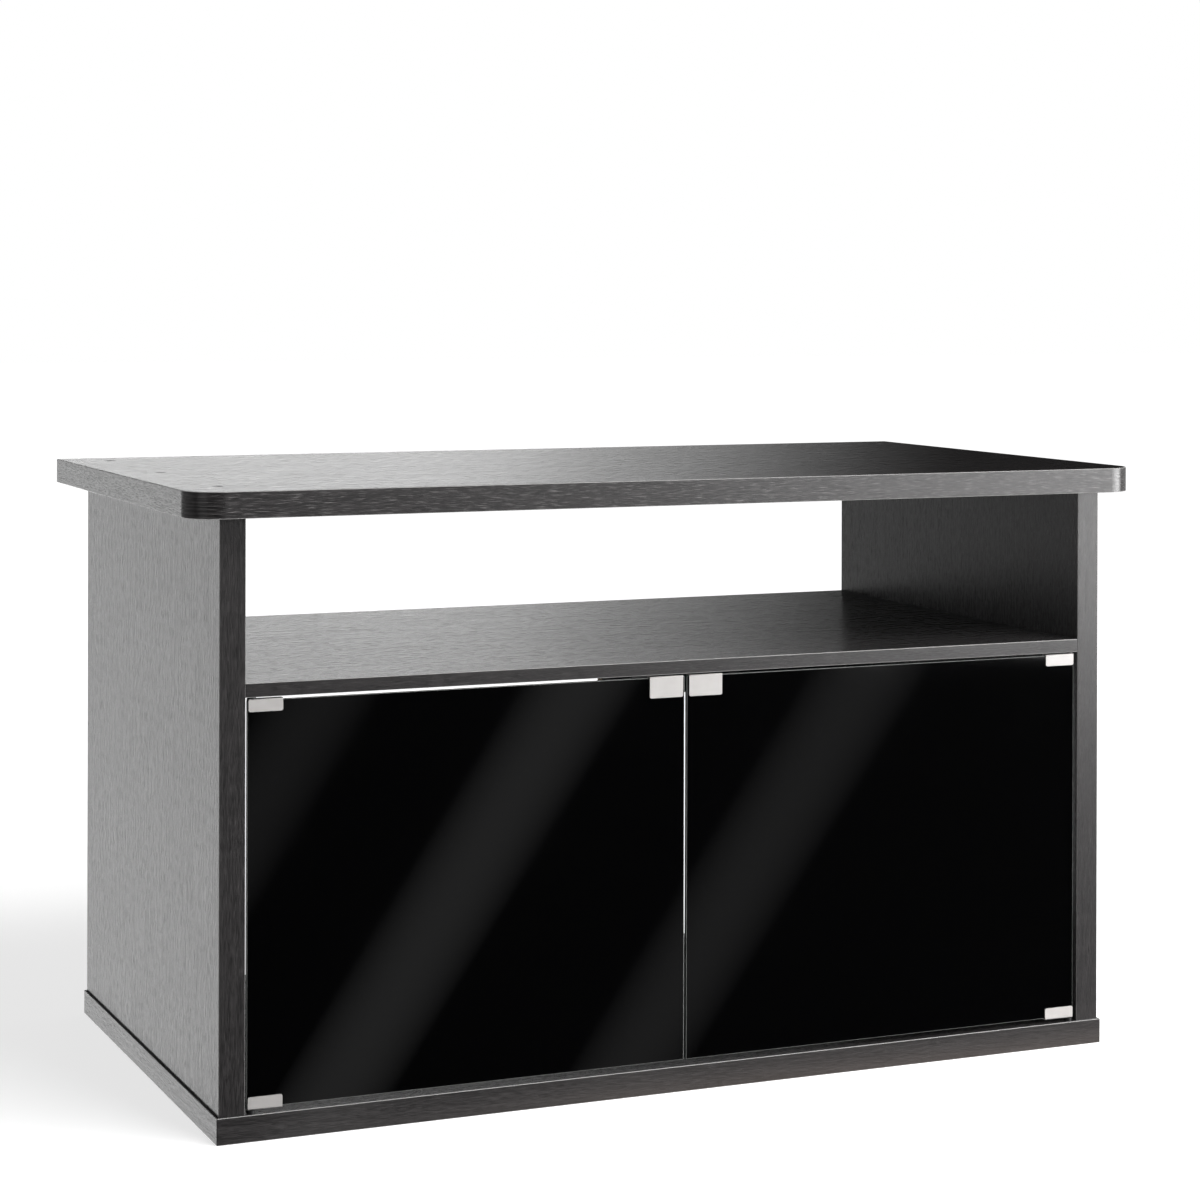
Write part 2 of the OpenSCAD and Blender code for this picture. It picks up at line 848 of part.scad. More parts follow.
module coil() {
  last = spring_rings * spring_turns;
  points = [for (ring = [0:last], corner = [0:wire_sides - 1]) coil_point(ring, corner)];
  skin = [for (ring = [0:last - 1], corner = [0:wire_sides - 1])
    let (
      a = ring * wire_sides + corner,
      b = ring * wire_sides + (corner + 1) % wire_sides
    ) each [[a, b, b + wire_sides], [a, b + wire_sides, a + wire_sides]]];
  ends = [for (corner = [1:wire_sides - 2])
    each [[0, corner + 1, corner],
      [last * wire_sides, last * wire_sides + corner, last * wire_sides + corner + 1]]];
  polyhedron(points = points, faces = concat(skin, ends));
}

module latch_spring(side) {
  translate([side * striker_x, plunger_y + plunger_l + fit_gap, plunger_z])
    rotate([-90, 0, 0]) coil();
}

module latch_spring_left() {
  color(zinc) latch_spring(-1);
}

module latch_spring_right() {
  color(zinc) latch_spring(1);
}

// ---- Drawing -------------------------------------------------------------

top_board();
top_edging();
side_panel_left();
side_panel_right();
side_edging_left();
side_edging_right();
base_board();
base_edging();
shelf();
shelf_edging();
rear_rail();
panel_dowels();
shelf_dowels();
rail_dowels();
top_screws();
top_screw_caps();
base_screws();
cam_bolts();
cam_locks();
shelf_bushes();
base_bushes();
door_glass_left();
door_glass_right();
hinge_clip_top_left();
hinge_clip_bottom_left();
hinge_clip_top_right();
hinge_clip_bottom_right();
pivot_pins_left();
pivot_pins_right();
clip_liners_left();
clip_liners_right();
clamp_screws_left();
clamp_screws_right();
striker_plate_left();
striker_plate_right();
striker_liner_left();
striker_liner_right();
latch_housing();
latch_screws();
latch_plunger_left();
latch_plunger_right();
latch_magnet_left();
latch_magnet_right();
latch_spring_left();
latch_spring_right();
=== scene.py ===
"""Looks of a low terrarium cabinet with glass doors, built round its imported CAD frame.

Metres, X to the right, Y to the back, Z up. Sizes in the code are millimetres
times MM where that reads better. Places come from the frame's own boxes.
"""

import math

import bpy
import bmesh
from mathutils import Matrix, Vector


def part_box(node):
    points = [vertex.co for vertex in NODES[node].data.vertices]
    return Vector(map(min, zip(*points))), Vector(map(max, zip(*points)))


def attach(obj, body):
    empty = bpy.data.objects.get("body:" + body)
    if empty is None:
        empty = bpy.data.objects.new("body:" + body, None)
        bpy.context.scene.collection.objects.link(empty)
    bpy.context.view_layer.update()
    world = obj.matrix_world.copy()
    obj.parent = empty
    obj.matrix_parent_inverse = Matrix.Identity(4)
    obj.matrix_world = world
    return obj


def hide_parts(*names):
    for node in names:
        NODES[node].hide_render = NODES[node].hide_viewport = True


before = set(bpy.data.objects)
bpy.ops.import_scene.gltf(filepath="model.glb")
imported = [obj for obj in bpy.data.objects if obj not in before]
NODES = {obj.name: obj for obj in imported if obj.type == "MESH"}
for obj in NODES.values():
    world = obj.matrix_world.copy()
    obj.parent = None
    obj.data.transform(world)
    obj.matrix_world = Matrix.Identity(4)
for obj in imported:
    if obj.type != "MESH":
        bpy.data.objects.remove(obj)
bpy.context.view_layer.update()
MM = 0.001

# ---- Photograph's camera -------------------------------------------------------------

CAMERA_PLACE = (-1.4425, -3.2883, 0.9457)
CAMERA_YAW = 22.413  # degrees to the right of +Y
CAMERA_PITCH = -0.123
CAMERA_ROLL = 0.134
FOCAL_PX = 2827.3
IMAGE_PX = 1200
PRINCIPAL_PX = (525.6, 291.3)
SENSOR_MM = 36.0


def make_camera():
    data = bpy.data.cameras.new("camera")
    data.sensor_width = SENSOR_MM
    data.lens = FOCAL_PX * SENSOR_MM / IMAGE_PX
    data.shift_x = 0.5 - PRINCIPAL_PX[0] / IMAGE_PX
    data.shift_y = PRINCIPAL_PX[1] / IMAGE_PX - 0.5
    camera = bpy.data.objects.new("camera", data)
    turn = Matrix.Rotation(math.radians(-CAMERA_YAW), 4, "Z")
    tilt = Matrix.Rotation(math.radians(90 + CAMERA_PITCH), 4, "X")
    roll = Matrix.Rotation(math.radians(CAMERA_ROLL), 4, "Z")
    camera.matrix_world = Matrix.Translation(CAMERA_PLACE) @ turn @ tilt @ roll
    bpy.context.scene.collection.objects.link(camera)
    bpy.context.scene.camera = camera


# ---- Node graphs ---------------------------------------------------------------------


class Graph:
    """Short calls that add nodes to one node tree and link them."""

    def __init__(self, tree):
        self.tree = tree

    def add(self, kind, inputs=None, **settings):
        node = self.tree.nodes.new(kind)
        for name, value in settings.items():
            setattr(node, name, value)
        for name, value in (inputs or {}).items():
            self.put(node.inputs[name], value)
        return node

    def put(self, socket, value):
        if isinstance(value, bpy.types.NodeSocket):
            self.tree.links.new(value, socket)
        else:
            socket.default_value = value

    def math(self, operation, *values, clamp=False):
        node = self.add("ShaderNodeMath", operation=operation, use_clamp=clamp)
        for socket, value in zip(node.inputs, values):
            self.put(socket, value)
        return node.outputs[0]

    def blend(self, factor, a, b):
        """Value a where factor is 0, and b where it is 1."""
        node = self.add("ShaderNodeMix", data_type="FLOAT")
        for socket, value in zip(node.inputs[0:1] + node.inputs[2:4], (factor, a, b)):
            self.put(socket, value)
        return node.outputs[0]

    def colour_mix(self, factor, a, b):
        node = self.add("ShaderNodeMix", data_type="RGBA")
        for index, value in ((0, factor), (6, a), (7, b)):
            self.put(node.inputs[index], value)
        return node.outputs[2]

    def mix_shader(self, factor, a, b):
        node = self.add("ShaderNodeMixShader", {"Fac": factor})
        self.put(node.inputs[1], a.outputs[0])
        self.put(node.inputs[2], b.outputs[0])
        return node

    def step(self, value, start, end):
        """0 up to start, 1 from end on, and a smooth rise between; either may be larger."""
        values = {"Value": value, "From Min": start, "From Max": end}
        node = self.add("ShaderNodeMapRange", values, interpolation_type="SMOOTHSTEP")
        return node.outputs["Result"]

    def vector(self, x, y, z):
        return self.add("ShaderNodeCombineXYZ", {"X": x, "Y": y, "Z": z}).outputs[0]

    def scaled(self, place, scales):
        """A point whose three values are each multiplied by their own scale."""
        return self.vector(*(self.math("MULTIPLY", v, k) for v, k in zip(place, scales)))

    def noise(self, vector, detail=2.0, roughness=0.5):
        """Noise from 0 to 1, about 0.5 on average, at one cell for each unit."""
        values = {"Vector": vector, "Scale": 1.0, "Detail": detail, "Roughness": roughness}
        return self.add("ShaderNodeTexNoise", values).outputs[0]

    def object_point(self):
        """Where a point lies on the object at rest, in metres."""
        return self.add("ShaderNodeTexCoord").outputs["Object"]

    def place(self):
        """The same point as three values."""
        return self.split(self.object_point())

    def split(self, vector):
        return self.add("ShaderNodeSeparateXYZ", {"Vector": vector}).outputs[:]

    def bump(self, height, depth, strength):
        """Normal of a surface whose height goes from 0 to depth metres."""
        values = {"Height": height, "Distance": depth, "Strength": strength}
        return self.add("ShaderNodeBump", values).outputs[0]


def blank_material(name):
    """A new material, its empty graph and the socket that takes its surface."""
    made = bpy.data.materials.new(name)
    made.use_nodes = True
    made.node_tree.nodes.clear()
    graph = Graph(made.node_tree)
    return made, graph, graph.add("ShaderNodeOutputMaterial").inputs["Surface"]


def material(name):
    """A new material, its graph and its shader, linked to the surface."""
    made, graph, surface = blank_material(name)
    shader = graph.add("ShaderNodeBsdfPrincipled")
    graph.put(surface, shader.outputs[0])
    return made, graph, shader


def dress(shader, graph, **values):
    """Sets the shader's sockets by name, with underscores for spaces."""
    for name, value in values.items():
        graph.put(shader.inputs[name.replace("_", " ")], value)


# ---- Wood laminate -------------------------------------------------------------------

STAIN_DARK = (0.0125, 0.0117, 0.0119, 1)
STAIN_LIGHT = (0.043, 0.0402, 0.0408, 1)
# pale flecks: partly grain, partly painted glints of pore edges
FLECK_AND_GLINT = (0.20, 0.19, 0.19, 1)
# pale rounded band edges: partly the paler trimmed band, partly a painted highlight of the arris
SCRAPED_AND_HIGHLIT = (0.36, 0.355, 0.35, 1)
PORE = (0.006, 0.0055, 0.0052, 1)
CHIP_DARK = (0.16, 0.10, 0.055, 1)
CHIP_LIGHT = (0.46, 0.33, 0.20, 1)
FOIL = 0.3 * MM  # thickness of the printed and pressed surface
CHIP_CELLS = (260, 260, 700)  # chips for each metre along X, Y and Z

# Cells of the grain for each metre, across the fibres and along them.
MEANDER_CELLS = (5.0, 0.9)
BROAD_CELLS = (60.0, 2.5)
STREAK_CELLS = (330.0, 9.0)
FIBRE_CELLS = (1000.0, 62.0)
FLECK_CELLS = (1700.0, 55.0)
PORE_CELLS = (1200.0, 62.0)
SWAY = 3 * MM  # how far the fibres wander sideways
FLECK_NOISE = (0.57, 0.70)  # noise from which a fleck starts and is full
PORE_NOISE = (0.60, 0.70)

STREAK_SHARE = 0.88  # of streaks against broad shades
FIBRE_SHARE = 0.6  # of fibres against shades
TONE_RELIEF = (0.36, 0.64)  # relief from the dark stain to the light one
SHEEN_RELIEF = (0.34, 0.66)
GROOVE_ROUGHNESS, RIDGE_ROUGHNESS, CORE_ROUGHNESS = 0.31, 0.23, 0.85
PORE_ROUGHNESS = 0.12  # added in the pores
PORE_DEPTH = -0.5  # against the height of the fibres
GRAIN_RELIEF = (0.05 * MM, 0.6)  # the bump's depth and strength
EDGE_FACING = (0.12, 0.42)  # where a rounded edge starts and is full
BOARD_FLECKS_AND_GLINTS, TOP_BAND_FLECKS_AND_GLINTS = 0.15, 0.75  # how strongly the pale flecks show: partly grain, partly painted glints of pore edges, most on the top band


def grain_axes(graph, grain):
    """Distances along and across the grain, for one way that a board is cut."""
    x, y, z = graph.place()
    if grain == "x":
        return x, graph.math("ADD", y, z)
    if grain == "z":
        return z, graph.math("ADD", x, y)
    return graph.math("ADD", x, y), z  # a band that runs round a level board


def oak_grain(graph, grain, seed):
    """Shades, streaks, fibres, pale flecks and open pores of straight oak, 0 to 1; the flecks
    are partly grain, partly painted glints.
    """
    along, across = grain_axes(graph, grain)

    def layer(cells, line, **settings):
        point = graph.vector(graph.math("MULTIPLY", along, cells[1]),
                             graph.math("MULTIPLY", line, cells[0]), seed)
        return graph.noise(point, **settings)

    meander = layer(MEANDER_CELLS, across, detail=1.0)
    line = graph.math("MULTIPLY_ADD", meander, SWAY, across)
    broad = layer(BROAD_CELLS, line, detail=2.0)
    streaks = layer(STREAK_CELLS, line, detail=2.0, roughness=0.6)
    fibres = layer(FIBRE_CELLS, line, detail=1.0)
    flecks = graph.step(layer(FLECK_CELLS, line, detail=1.0), *FLECK_NOISE)
    pores = graph.step(layer(PORE_CELLS, line, detail=1.0), *PORE_NOISE)
    return broad, streaks, fibres, flecks, pores


def board_core(graph, low, high):
    """1 inside a board's box, below its foil, where only drilled and sawn faces show."""
    depths = []
    for value, near, far in zip(graph.place(), low, high):
        depths.append(graph.math("SUBTRACT", value, near))
        depths.append(graph.math("SUBTRACT", far, value))
    least = depths[0]
    for depth in depths[1:]:
        least = graph.math("MINIMUM", least, depth)
    return graph.math("GREATER_THAN", least, FOIL)


def chipboard(graph):
    """Colour of the pressed chips inside a board."""
    point = graph.scaled(graph.place(), CHIP_CELLS)
    chips = graph.add("ShaderNodeTexVoronoi", {"Vector": point, "Scale": 1.0})
    shade = graph.split(chips.outputs["Color"])[0]
    return graph.colour_mix(shade, CHIP_DARK, CHIP_LIGHT)


def facing(graph, axis):
    """How squarely a surface faces along an axis of the object, 0 to 1."""
    normal = graph.add("ShaderNodeTexCoord").outputs["Normal"]
    return graph.math("ABSOLUTE", graph.split(normal)[axis])


def rounded_edge(graph, axis):
    """1 in the middle of the rounded edges of faces square to an axis, else 0."""
    face = facing(graph, axis)
    rest = graph.math("SUBTRACT", 1.0, graph.math("POWER", face, 2.0), clamp=True)
    slant = graph.math("MULTIPLY", face, graph.math("SQRT", rest))
    return graph.step(slant, *EDGE_FACING)


def laminate(name, grain, seed, core=None, fleck_and_glint_share=BOARD_FLECKS_AND_GLINTS, scrape_and_highlight=0.0):
    """Black-stained oak laminate, with grain along x or z, or round a band.

    Core is the box of a board that shows chipboard where it is drilled or sawn.
    Scrape_and_highlight is how far a band's rounded edges turn pale: partly the paler trimmed
    band, partly a painted highlight of the arris.
    """
    made, graph, shader = material(name)
    broad, streaks, fibres, flecks, pores = oak_grain(graph, grain, seed)
    shades = graph.blend(STREAK_SHARE, broad, streaks)
    relief = graph.blend(FIBRE_SHARE, shades, fibres)
    tone = graph.step(relief, *TONE_RELIEF)
    colour = graph.colour_mix(tone, STAIN_DARK, STAIN_LIGHT)
    # pale flecks, partly grain and partly painted glints of pore edges
    colour = graph.colour_mix(graph.math("MULTIPLY", flecks, fleck_and_glint_share), colour, FLECK_AND_GLINT)
    colour = graph.colour_mix(pores, colour, PORE)
    # rounded edges painted pale: partly scraped band, partly a painted highlight of the arris
    if scrape_and_highlight:
        edge = rounded_edge(graph, 0 if grain == "z" else 2)
        colour = graph.colour_mix(graph.math("MULTIPLY", edge, scrape_and_highlight), colour, SCRAPED_AND_HIGHLIT)
    sheen = graph.step(relief, *SHEEN_RELIEF)
    roughness = graph.blend(sheen, GROOVE_ROUGHNESS, RIDGE_ROUGHNESS)
    roughness = graph.math("MULTIPLY_ADD", pores, PORE_ROUGHNESS, roughness)
    height = graph.math("MULTIPLY_ADD", pores, PORE_DEPTH, fibres)
    if core:
        inside = board_core(graph, *core)
        colour = graph.colour_mix(inside, colour, chipboard(graph))
        roughness = graph.blend(inside, roughness, CORE_ROUGHNESS)
    dress(shader, graph, Base_Color=colour, Roughness=roughness, IOR=1.5,
          Normal=graph.bump(height, *GRAIN_RELIEF))
    return made


# ---- Other materials -----------------------------------------------------------------

GLASS_FACE = (0.0011, 0.0011, 0.0012, 1)
GLASS_SIDE = (0.004, 0.011, 0.0095, 1)
GLASS_GROUND = (0.3, 0.31, 0.3, 1)
POLISH_ROUGHNESS, SMEAR_ROUGHNESS, GROUND_ROUGHNESS = 0.03, 0.025, 0.4
SMEAR_CELLS = (9, 0, 14)  # smears for each metre along X, Y and Z
SMEAR_NOISE = (0.45, 0.75)  # noise from which a smear starts and is full
GLASS_FACING = (0.5, 0.9)  # how squarely a broad face starts and is full

STEEL_DARK = (0.48, 0.465, 0.455, 1)
STEEL_LIGHT = (0.56, 0.545, 0.535, 1)
STEEL_PAINTED_SHADE = (0.03, 0.03, 0.03, 1)  # painted shade: level faces near black, as in the slit under the shelf
LEVEL_FACING = (0.8, 0.97)  # how squarely a level face starts and is full
STEEL_ROUGHNESS, BRUSH_ROUGHNESS = 0.55, 0.14
BRUSH_RELIEF = (0.03 * MM, 0.6)
BRUSH_CELLS = (40, 6000, 6000)
CLOUD_CELLS = (60, 0, 90)


def black_glass():
    """Glass lacquered black behind: deep gloss, faint smears and ground arrises."""
    made, graph, shader = material("black_glass")
    point = graph.scaled(graph.place(), SMEAR_CELLS)
    smears = graph.step(graph.noise(point, detail=4.0), *SMEAR_NOISE)
    face = graph.step(facing(graph, 1), *GLASS_FACING)
    ground = rounded_edge(graph, 1)
    colour = graph.colour_mix(face, GLASS_SIDE, GLASS_FACE)
    colour = graph.colour_mix(ground, colour, GLASS_GROUND)
    polish = graph.math("MULTIPLY_ADD", smears, SMEAR_ROUGHNESS, POLISH_ROUGHNESS)
    dress(shader, graph, Base_Color=colour, IOR=1.5,
          Roughness=graph.blend(ground, polish, GROUND_ROUGHNESS))
    return made


def brushed_steel():
    """Satin plated steel, brushed along X, with painted shade on its level faces."""
    made, graph, shader = material("brushed_steel")
    place = graph.place()
    brush = graph.noise(graph.scaled(place, BRUSH_CELLS), detail=2.0, roughness=0.7)
    cloud = graph.noise(graph.scaled(place, CLOUD_CELLS))
    colour = graph.colour_mix(cloud, STEEL_DARK, STEEL_LIGHT)
    # painted shade: level faces turn near black
    level = graph.step(facing(graph, 2), *LEVEL_FACING)
    colour = graph.colour_mix(level, colour, STEEL_PAINTED_SHADE)
    dress(shader, graph, Base_Color=colour, Metallic=0.6,
          Roughness=graph.math("MULTIPLY_ADD", brush, BRUSH_ROUGHNESS, STEEL_ROUGHNESS),
          Normal=graph.bump(brush, *BRUSH_RELIEF))
    return made


def mottled(name, dark, light, cells, detail, roughness, relief, **values):
    """One fine noise in the colour, the roughness and the relief of a finish.

    Cells are for each metre, roughness is its least and its range, and relief is
    the bump's depth and strength.
    """
    made, graph, shader = material(name)
    noise = {"Vector": graph.object_point(), "Scale": cells, "Detail": detail}
    mottle = graph.add("ShaderNodeTexNoise", noise).outputs[0]
    dress(shader, graph, Base_Color=graph.colour_mix(mottle, (*dark, 1), (*light, 1)),
          Roughness=graph.math("MULTIPLY_ADD", mottle, roughness[1], roughness[0]),
          Normal=graph.bump(mottle, *relief), **values)
    return made


def plated(name, colour, roughness, grain_mm):
    """Zinc, nickel or steel with a fine mottle of the given grain size."""
    return mottled(name, [c * 0.72 for c in colour], colour, 1 / (grain_mm * MM), 3.0,
                   (roughness - 0.08, 0.16), (0.01 * MM, 0.4), Metallic=1.0)


def moulded(name, colour, roughness, texture_mm):
    """Plastic with a fine spark-eroded texture."""
    return mottled(name, [c * 0.8 for c in colour], colour, 1 / (texture_mm * MM), 2.0,
                   (roughness - 0.07, 0.15), (0.02 * MM, 0.5), IOR=1.46)


def beech_wood():
    """Turned beech with small flecks."""
    return mottled("beech_wood", (0.42, 0.27, 0.15), (0.62, 0.45, 0.28), 900.0, 3.0,
                   (0.5, 0.2), (0.03 * MM, 0.5), IOR=1.45)


# ---- Meshes --------------------------------------------------------------------------

SHARP_ANGLE = math.radians(35)
LEAST_RADIUS = 0.05 * MM


def flatten_normals(obj):
    """Keeps broad faces flat, so that only the narrow ones beside them shade round."""
    modifier = obj.modifiers.new("normals", "WEIGHTED_NORMAL")
    modifier.weight = 100
    modifier.keep_sharp = True


def new_piece(name, bm, body, finish, replaced):
    """Makes bm a piece of the object that stands for the replaced CAD nodes."""
    bmesh.ops.recalc_face_normals(bm, faces=bm.faces)
    mesh = bpy.data.meshes.new(name)
    bm.to_mesh(mesh)
    bm.free()
    mesh.materials.append(finish)
    mesh.shade_smooth()
    mesh.set_sharp_from_angle(angle=SHARP_ANGLE)
    piece = bpy.data.objects.new(name, mesh)
    bpy.context.scene.collection.objects.link(piece)
    flatten_normals(piece)
    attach(piece, body)
    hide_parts(*replaced)


def arc(centre, radius, start, end, count):
    """Points on an arc from start to end degrees, both ends included."""
    angles = [math.radians(start + (end - start) * i / count) for i in range(count + 1)]
    return [(centre[0] + radius * math.cos(a), centre[1] + radius * math.sin(a))
            for a in angles]


def rounded_outline(low, high, radii, count=12):
    """A rectangle's outline from its low left corner, with a radius at each corner."""
    corners = [(low[0], low[1], 1, 1, 180), (high[0], low[1], -1, 1, 270),
               (high[0], high[1], -1, -1, 0), (low[0], high[1], 1, -1, 90)]
    points = []
    for (x, y, to_x, to_y, start), r in zip(corners, radii):
        points += arc((x + to_x * r, y + to_y * r), r, start, start + 90, count)
    return points


def inset_outline(low, high, radii, inset, count=12):
    """The same outline drawn in by inset, with as many points."""
    near = [c + inset for c in low]
    far = [c - inset for c in high]
    return rounded_outline(near, far, [max(r - inset, LEAST_RADIUS) for r in radii], count)


def skin(bm, rings, closed):
    """Faces between each ring and the next, and from the last to the first if closed."""
    loops = [[bm.verts.new(p) for p in ring] for ring in rings]
    pairs = list(zip(loops, loops[1:])) + ([(loops[-1], loops[0])] if closed else [])
    for a, b in pairs:
        for i in range(len(a)):
            j = (i + 1) % len(a)
            bm.faces.new((a[i], a[j], b[j], b[i]))
    return loops


def band_section(low, high, thickness, arris, count=4):
    """Depth and height of each point of a band's section, outer face at depth 0."""
    bottom = arc((arris, low + arris), arris, 270, 180, count)
    top = arc((arris, high - arris), arris, 180, 90, count)
    return [(thickness, low)] + bottom + top + [(thickness, high)]


def ring_band(bm, node, radii):
    """An edge band all round a level board, with its free edges rounded over."""
    low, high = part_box(node)
    rings = []
    for depth, height in band_section(low.z, high.z, BAND, BAND_ARRIS):
        outline = inset_outline(low[:2], high[:2], radii, depth)
        rings.append([(x, y, height) for x, y in outline])
    skin(bm, rings, closed=True)


def strip_band(bm, section, face, inward, width_axis, run):
    """A straight band on a front or back face, with its section at both ends of its run."""
    rings = []
    for end in run:
        points = [(face + inward * depth, across) for depth, across in section]
        rings.append([(across, y, end) if width_axis == 0 else (end, y, across)
                      for y, across in points])
    for loop in skin(bm, rings, closed=False):
        bm.faces.new(loop)


BAND = 1 * MM  # thickness
BAND_ARRIS = 0.95 * MM
LEVEL_SCRAPE_AND_HIGHLIGHT = 1.0  # how far the rounded edges of level bands turn pale, partly scraped and partly painted highlight
UPRIGHT_SCRAPE_AND_HIGHLIGHT = 0.3
TOP_CORNER = 40 * MM
PLAIN_CORNER = 1 * MM
# Ring bands: node, radii of its corners from the front left one on, seed, and how strongly the
# pale flecks show, partly grain and partly painted glints.
RING_BANDS = (
    ("top_edging", [TOP_CORNER] * 2 + [PLAIN_CORNER] * 2, 3.0, TOP_BAND_FLECKS_AND_GLINTS),
    ("base_edging", [PLAIN_CORNER] * 4, 7.0, BOARD_FLECKS_AND_GLINTS),
)
# Straight bands: node, grain, seed, how far the rounded edges turn pale (scraped band and
# painted highlight), and the axis of their width.
STRAIGHT_BANDS = (("side_edging_left", "z", 11.0, UPRIGHT_SCRAPE_AND_HIGHLIGHT, 0),
                  ("side_edging_right", "z", 13.0, UPRIGHT_SCRAPE_AND_HIGHLIGHT, 0),
                  ("shelf_edging", "x", 17.0, LEVEL_SCRAPE_AND_HIGHLIGHT, 2))


def front_and_back_bands(bm, low, high, width_axis):
    """Bands on the front and the back of a box, upright with their width along x,
    or level with their width along z."""
    run_axis = 2 - width_axis
    section = band_section(low[width_axis], high[width_axis], BAND, BAND_ARRIS)
    for face, inward in ((low.y, 1), (high.y, -1)):
        strip_band(bm, section, face, inward, width_axis, (low[run_axis], high[run_axis]))


def make_bands():
    """Edge bands of the boards, each pressed over at its free edges."""
    for node, radii, seed, flecks in RING_BANDS:
        bm = bmesh.new()
        ring_band(bm, node, radii)
        finish = laminate(node + "_oak", "ring", seed, fleck_and_glint_share=flecks,
                          scrape_and_highlight=LEVEL_SCRAPE_AND_HIGHLIGHT)
        new_piece(node + "_band", bm, "carcass", finish, [node])
    for node, grain, seed, scrape_and_highlight, width_axis in STRAIGHT_BANDS:
        bm = bmesh.new()
        front_and_back_bands(bm, *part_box(node), width_axis)
        finish = laminate(node + "_oak", grain, seed, scrape_and_highlight=scrape_and_highlight)
        new_piece(node + "_band", bm, "carcass", finish, [node])


GLASS_CORNER = 1.5 * MM
GLASS_ARRIS = 0.7 * MM


def make_glass(finish):
    """Door leaves with rounded corners and ground arrises."""
    for side in ("left", "right"):
        node = "door_glass_" + side
        low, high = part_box(node)
        rings = []
        edge = band_section(low.y, high.y, GLASS_ARRIS, GLASS_ARRIS, count=3)[1:-1]
        for inset, y in edge:
            outline = inset_outline((low.x, low.z), (high.x, high.z), [GLASS_CORNER] * 4,
                                    inset, count=6)
            rings.append([(x, y, z) for x, z in outline])
        bm = bmesh.new()
        loops = skin(bm, rings, closed=False)
        bm.faces.new(loops[0])
        bm.faces.new(loops[-1])
        new_piece(f"door_leaf_{side}", bm, f"door_{side}", finish, [node])


# ---- Finishes on the CAD nodes -------------------------------------------------------

WELD_REACH = 0.002 * MM
HARD_EDGE = math.radians(40)
METAL_CAPS = ("hinge_clip_top_{}", "hinge_clip_bottom_{}", "striker_plate_{}")
CAP_BEVEL, HOUSING_BEVEL, RAIL_BEVEL = 0.32 * MM, 0.5 * MM, 0.4 * MM


def soften(node, width):
    """Rounds a CAD node's hard edges, as a modifier."""
    obj = NODES[node]
    weld = obj.modifiers.new("weld", "WELD")
    weld.merge_threshold = WELD_REACH
    bevel = obj.modifiers.new("bevel", "BEVEL")
    bevel.width = width
    bevel.segments = 2
    bevel.harden_normals = True
    bevel.limit_method = "ANGLE"
    bevel.angle_limit = HARD_EDGE


def paint(finish, *nodes):
    """Gives one finish to whole CAD nodes."""
    for node in nodes:
        for slot in NODES[node].material_slots:
            slot.material = finish


def both(*patterns):
    """Names of the left and right nodes of each pattern."""
    return [pattern.format(side) for pattern in patterns for side in ("left", "right")]


# Boards: node, grain, seed.
BOARDS = (("top_board", "x", 23.0), ("base_board", "x", 29.0), ("shelf", "x", 31.0),
          ("rear_rail", "x", 37.0), ("side_panel_left", "z", 41.0),
          ("side_panel_right", "z", 43.0))


def paint_boards():
    for node, grain, seed in BOARDS:
        paint(laminate(node + "_oak", grain, seed, core=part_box(node)), node)


def paint_fittings(glass):
    zinc = plated("zinc_plate", (0.62, 0.63, 0.64), 0.34, 1.5)
    paint(zinc, "top_screws", "base_screws", "cam_bolts", "cam_locks", "latch_screws",
          *both("clamp_screws_{}", "pivot_pins_{}"))
    paint(brushed_steel(), *both(*METAL_CAPS))
    paint(plated("spring_wire", (0.5, 0.5, 0.51), 0.28, 0.4), *both("latch_spring_{}"))
    paint(plated("nickel_magnet", (0.66, 0.64, 0.6), 0.22, 3.0), *both("latch_magnet_{}"))
    paint(beech_wood(), "panel_dowels", "shelf_dowels", "rail_dowels")
    paint(moulded("black_nylon", (0.012, 0.012, 0.0125), 0.45, 0.25),
          "top_screw_caps", "shelf_bushes", "base_bushes", *both("latch_plunger_{}"))
    paint(moulded("grey_housing", (0.07, 0.072, 0.076), 0.5, 0.35), "latch_housing")
    paint(moulded("soft_liner", (0.22, 0.23, 0.235), 0.7, 0.3),
          *both("clip_liners_{}", "striker_liner_{}"))
    paint(glass, *both("door_glass_{}"))


def soften_fittings():
    """Rounds the fittings whose edges catch the light, and the rail's."""
    for node in both(*METAL_CAPS):
        soften(node, CAP_BEVEL)
    soften("latch_housing", HOUSING_BEVEL)
    soften("rear_rail", RAIL_BEVEL)


# ---- Stage ---------------------------------------------------------------------------

FRONT_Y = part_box("side_edging_left")[0].y  # where the panels' fronts stand
FLOOR_HALF = 30.0
# Mirrored light round the horizon: degrees to the right of +Y, and level.
BACKDROP = ((-180, 0.0), (-110, 0.1), (-45, 0.4), (-33, 0.38), (-29, 0.06), (-26, 0.02),
            (-24, 0.05), (-22, 0.35), (-20, 1.7), (-18, 2.9), (-15.8, 2.9), (-13, 0.56),
            (-8, 0.79), (5, 2.9), (19.9, 2.9), (21.9, 2.6), (23.9, 1.58), (25.9, 1.03),
            (27.9, 0.45), (30.2, 0.0), (38, 0.0), (48, 0.5), (115, 0.5), (140, 0.0))
BACKDROP_PEAK = 2.9
BACKDROP_RISE = (5, 11.5)  # degrees up between which it ends
BACKDROP_FOOT = (-5, -14)  # degrees up between which it turns brighter
BACKDROP_LIFT = 1.1
AMBIENT = 0.1  # level of the world for matt faces
